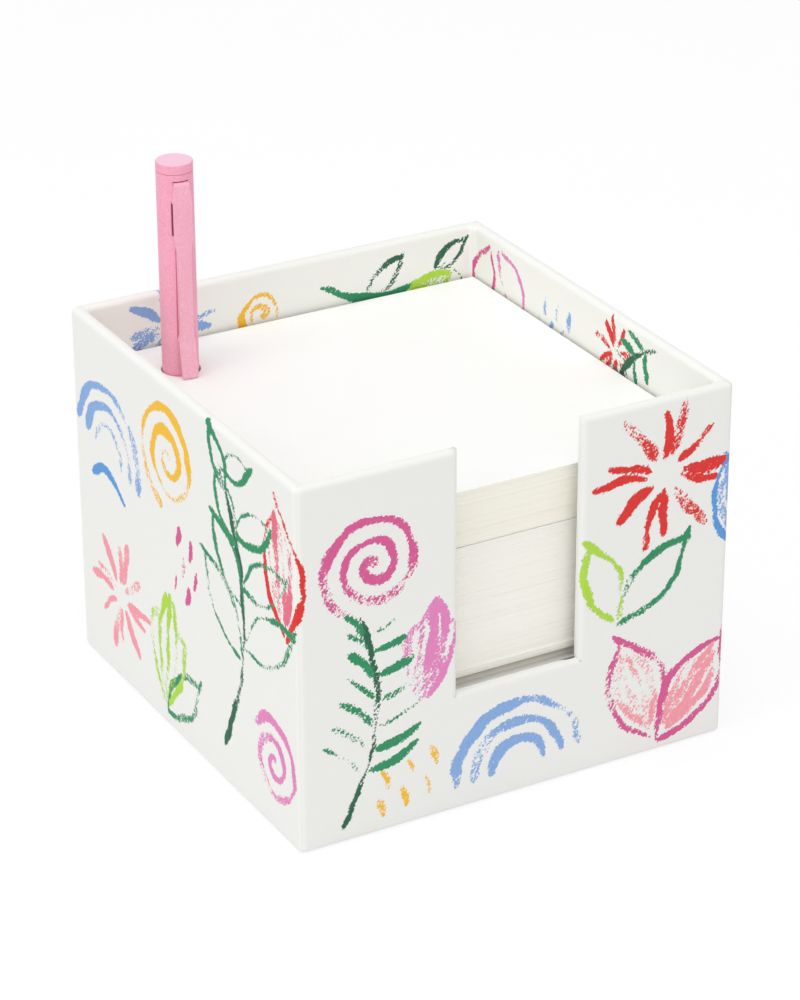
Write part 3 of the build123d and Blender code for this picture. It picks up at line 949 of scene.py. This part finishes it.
class MemoCubePenSettings(bpy.types.PropertyGroup):
    coat: bpy.props.FloatVectorProperty(
        name="Coat", description="Colour of the pen's coat, 0 to 255 a channel",
        default=(247, 166, 192), size=3, min=0, max=255)
    # The clip's colour is the pen's coat made lighter, painted light on the clip
    clip: bpy.props.FloatVectorProperty(
        name="Clip", description="Colour of the clip's coat, 0 to 255 a channel",
        default=(252, 177, 200), size=3, min=0, max=255)


class MemoCubeStageSettings(bpy.types.PropertyGroup):
    lens: bpy.props.FloatProperty(
        name="Lens", description="Focal length on a 36 mm sensor, in millimetres", default=127.25)
    azimuth: bpy.props.FloatProperty(
        name="Azimuth", description="Camera's turn about the object",
        default=math.radians(-29.29), subtype="ANGLE")
    height: bpy.props.FloatProperty(
        name="Elevation", description="Camera's height angle", default=math.radians(26.27), subtype="ANGLE")
    roll: bpy.props.FloatProperty(
        name="Roll", description="Camera's roll", default=math.radians(-0.18), subtype="ANGLE")
    distance: bpy.props.FloatProperty(
        name="Distance", description="From the camera to its target", default=0.8113, unit="LENGTH")


# Operators

class MEMOCUBE_OT_wrap(bpy.types.Operator):
    """Make the printed wrap of the four walls"""
    bl_idname = "memocube.wrap"
    bl_label = "Printed wrap"

    def execute(self, context):
        settings = context.scene.memo_cube_wrap
        strokes = crayon_pattern()
        material = print_finish("printed_wrap", tuple(settings.paper), tuple(settings.inside))
        for side in SIDES:
            piece = wrap_wall(side, settings.pitch, strokes)
            dress(piece, material)
            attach(piece, "box")
            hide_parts("outer_wrap")
        return {"FINISHED"}


class MEMOCUBE_OT_box(bpy.types.Operator):
    """Finish the boards, tapes and plain papers of the box"""
    bl_idname = "memocube.box"
    bl_label = "Boards and linings"

    def execute(self, context):
        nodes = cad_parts
        board = board_finish("greyboard", (168, 163, 154), (132, 127, 118))
        for name in ("base_board", "front_board", "back_board", "left_board", "right_board"):
            dress(nodes[name], board)
        tape = tape_finish("kraft_tape", (206, 178, 138), (180, 150, 110))
        for name in nodes:
            if name.startswith("corner_stay"):
                dress(nodes[name], tape)
        lining = paper_finish("lining_paper", (246, 245, 240))
        dress(nodes["wall_lining"], lining)
        dress(nodes["floor_lining"], lining)
        dress(nodes["base_sheet"], paper_finish("base_paper", (242, 242, 238), 10))
        return {"FINISHED"}


class MEMOCUBE_OT_sheets(bpy.types.Operator):
    """Stack the loose memo sheets"""
    bl_idname = "memocube.sheets"
    bl_label = "Memo sheets"

    def execute(self, context):
        settings = context.scene.memo_cube_sheets
        face = paper_finish("sheet_paper", (251, 251, 249), 4)
        edge = edge_finish("sheet_edges", (255, 252, 241), (249, 246, 232))
        # Painted shade: the set-back sheets' edges darken towards their top, under the middle pack that
        # stands over them
        band_low, band_high = solid_box("set_back_sheets")
        span = (band_low.z + 0.3, band_high.z - 0.1)
        edges = {
            "middle_pack": edge_finish("middle_edges", (255, 254, 246), (251, 248, 239)),
            "set_back_sheets": edge_finish(
                "shaded_edges", (255, 252, 243), (250, 243, 232), (176, 166, 144), span),
        }
        middle_low, middle_high = solid_box("middle_pack")
        tall = middle_high.z - middle_low.z
        middle_bands = (
            (0.0, 1.9, 0.3, 0.0),
            (tall - 24.6, tall - 24.4, 0.04, 0.12),
            (tall - 7.7, tall - 7.5, 0.05, 0.16),
            (tall - 3.3, tall - 3.1, 0.06, 0.14),
            (tall - 0.2, tall, 0.24, 0.0),
        )
        proud_bands = ((0.0, 1.0, 0.5, 0.0),)
        upper_bands = ((0.0, 0.2, -0.28, 0.0),)
        packs = (
            ("lower_pack", "lower_sheet_pile", "lower_sheets", 5 * settings.layer, 1, ()),
            ("proud_sheets", "proud_sheet_pile", "lower_sheets", 0.1, 2, proud_bands),
            ("set_back_sheets", "set_back_sheet_pile", "lower_sheets", settings.layer, 3, ()),
            ("middle_pack", "middle_sheet_pile", "middle_sheets", settings.layer, 4, middle_bands),
            ("upper_pack", "upper_sheet_pile", "upper_sheets", settings.layer, 5, upper_bands),
            ("top_sheet", "next_memo_sheet", "next_sheet", 0.1, 6, ()),
        )
        for node, name, body, layer, seed, bands in packs:
            piece = stack_of_sheets(node, name, layer, settings.shift, seed, bands)
            dress(piece, face, edges.get(node, edge))
            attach(piece, body)
            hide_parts(node)
        return {"FINISHED"}


class MEMOCUBE_OT_pen(bpy.types.Operator):
    """Finish the pen, its cap and its insides"""
    bl_idname = "memocube.pen"
    bl_label = "Pen"

    def execute(self, context):
        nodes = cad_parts
        base = tuple(context.scene.memo_cube_pen.coat)
        coat = coat_finish("pen_coat", base)
        for name in ("barrel", "barrel_plug"):
            dress(nodes[name], coat)
        dress(nodes["cap_tube"], coat_finish("cap_coat", base, clip_shaded=True))
        # The clip wears a lighter copy of the pen's coat, painted light
        dress(nodes["clip"], coat_finish("clip_coat", tuple(context.scene.memo_cube_pen.clip)))
        dress(nodes["cap_crown"], coat_finish("crown_coat", base, end=solid_box("cap_crown")[1].z))
        plastic = moulded_finish("liner_plastic", (226, 226, 224), (238, 238, 236))
        for name in ("cap_liner", "collar_ring"):
            dress(nodes[name], plastic)
        section = moulded_finish("section_plastic", (232, 158, 190), (240, 176, 204), 0.38)
        refill = moulded_finish("refill_plastic", (206, 214, 226), (226, 232, 240), 0.2)
        brass = turned_metal_finish("tip_brass", (196, 160, 92), (222, 190, 124))
        steel = turned_metal_finish("ball_steel", (196, 196, 200), (220, 220, 224), 0.12)
        dress(nodes["grip_section"], section)
        dress(nodes["refill_tube"], refill)
        dress(nodes["refill_tip"], brass)
        dress(nodes["refill_ball"], steel)
        return {"FINISHED"}


class MEMOCUBE_OT_stage(bpy.types.Operator):
    """Set the floor, the lights and the camera"""
    bl_idname = "memocube.stage"
    bl_label = "Stage"

    def execute(self, context):
        scene = context.scene
        settings = scene.memo_cube_stage
        scene.view_settings.view_transform = "Standard"

        bm = bmesh.new()
        bmesh.ops.create_grid(bm, x_segments=8, y_segments=8, size=FLOOR_HALF / MM)
        floor = piece_from(bm, "floor")
        f = Finish("floor_white")
        speck = f.noise(f.place(), 0.02, 2.0)
        tone = f.mix(speck, colour(247, 247, 247), colour(249, 249, 249))
        plain = f.node("ShaderNodeBsdfDiffuse", {}, {"Color": tone})
        bright = f.node("ShaderNodeEmission", {}, {"Color": WHITE, "Strength": FLOOR_GLOW})
        shown = f.node("ShaderNodeMixShader", {}, {0: FLOOR_GLOW_SHARE, 1: plain, 2: bright})
        either = f.node("ShaderNodeMixShader", {}, {0: f.looked_at(), 1: plain, 2: shown})
        f.node("ShaderNodeOutputMaterial", {}, {"Surface": either})
        dress(floor, f.owner)

        world = Finish("studio", "worlds")
        soft = world.node("ShaderNodeBackground", {}, {"Color": WHITE, "Strength": SKY_LIGHT})
        white = world.node("ShaderNodeBackground", {}, {"Color": WHITE, "Strength": SKY_SHOWN})
        sky = world.node("ShaderNodeMixShader", {}, {0: world.looked_at(), 1: soft, 2: white})
        world.node("ShaderNodeOutputWorld", {}, {"Surface": sky})
        scene.world = world.owner

        for name, spot, size, watts in LAMPS:
            light = bpy.data.lights.new(name, "AREA")
            light.shape = "SQUARE"
            light.size = size
            light.energy = watts
            holder = bpy.data.objects.new(name, light)
            holder.location = spot
            holder.rotation_euler = (Vector(LAMP_AIM) - Vector(spot)).to_track_quat("-Z", "Y").to_euler()
            scene.collection.objects.link(holder)

        azimuth, height, roll = settings.azimuth, settings.height, settings.roll
        level_back = Vector((math.sin(azimuth), -math.cos(azimuth), 0))
        back = level_back * math.cos(height) + Vector((0, 0, math.sin(height)))
        right = Vector((math.cos(azimuth), math.sin(azimuth), 0))
        up = back.cross(right)
        turned_right = right * math.cos(roll) + up * math.sin(roll)
        turned_up = up * math.cos(roll) - right * math.sin(roll)
        lens = bpy.data.cameras.new("camera")
        lens.lens = settings.lens
        lens.sensor_width = SENSOR_WIDTH
        lens.sensor_fit = "AUTO"
        lens.clip_start = 0.01
        camera = bpy.data.objects.new("camera", lens)
        facing = Matrix((turned_right, turned_up, back)).transposed().to_4x4()
        camera.matrix_world = Matrix.Translation(Vector(CAMERA_AIM) + back * settings.distance) @ facing
        scene.collection.objects.link(camera)
        scene.camera = camera
        return {"FINISHED"}


class MEMOCUBE_PT_panel(bpy.types.Panel):
    """The memo cube's sizes, colours and steps"""
    bl_label = "Memo cube"
    bl_idname = "MEMOCUBE_PT_panel"
    bl_space_type = "VIEW_3D"
    bl_region_type = "UI"
    bl_category = "Memo cube"

    def draw(self, context):
        layout = self.layout
        for group, operator in PARTS:
            box = layout.box()
            if group:
                settings = getattr(context.scene, group)
                for name in type(settings).__annotations__:
                    box.prop(settings, name)
            box.operator(operator)


PARTS = (
    ("memo_cube_wrap", "memocube.wrap"),
    ("", "memocube.box"),
    ("memo_cube_sheets", "memocube.sheets"),
    ("memo_cube_pen", "memocube.pen"),
    ("memo_cube_stage", "memocube.stage"),
)
SETTINGS = {
    "memo_cube_wrap": MemoCubeWrapSettings,
    "memo_cube_sheets": MemoCubeSheetSettings,
    "memo_cube_pen": MemoCubePenSettings,
    "memo_cube_stage": MemoCubeStageSettings,
}
CLASSES = (
    *SETTINGS.values(), MEMOCUBE_OT_wrap, MEMOCUBE_OT_box, MEMOCUBE_OT_sheets, MEMOCUBE_OT_pen,
    MEMOCUBE_OT_stage, MEMOCUBE_PT_panel,
)


def register():
    for cls in CLASSES:
        bpy.utils.register_class(cls)
    for name, group in SETTINGS.items():
        setattr(bpy.types.Scene, name, bpy.props.PointerProperty(type=group))


def unregister():
    for name in SETTINGS:
        delattr(bpy.types.Scene, name)
    for cls in reversed(CLASSES):
        bpy.utils.unregister_class(cls)


def main():
    register()
    bpy.ops.memocube.stage()
    bpy.ops.memocube.wrap()
    bpy.ops.memocube.box()
    bpy.ops.memocube.sheets()
    bpy.ops.memocube.pen()


if __name__ == "__main__":
    main()
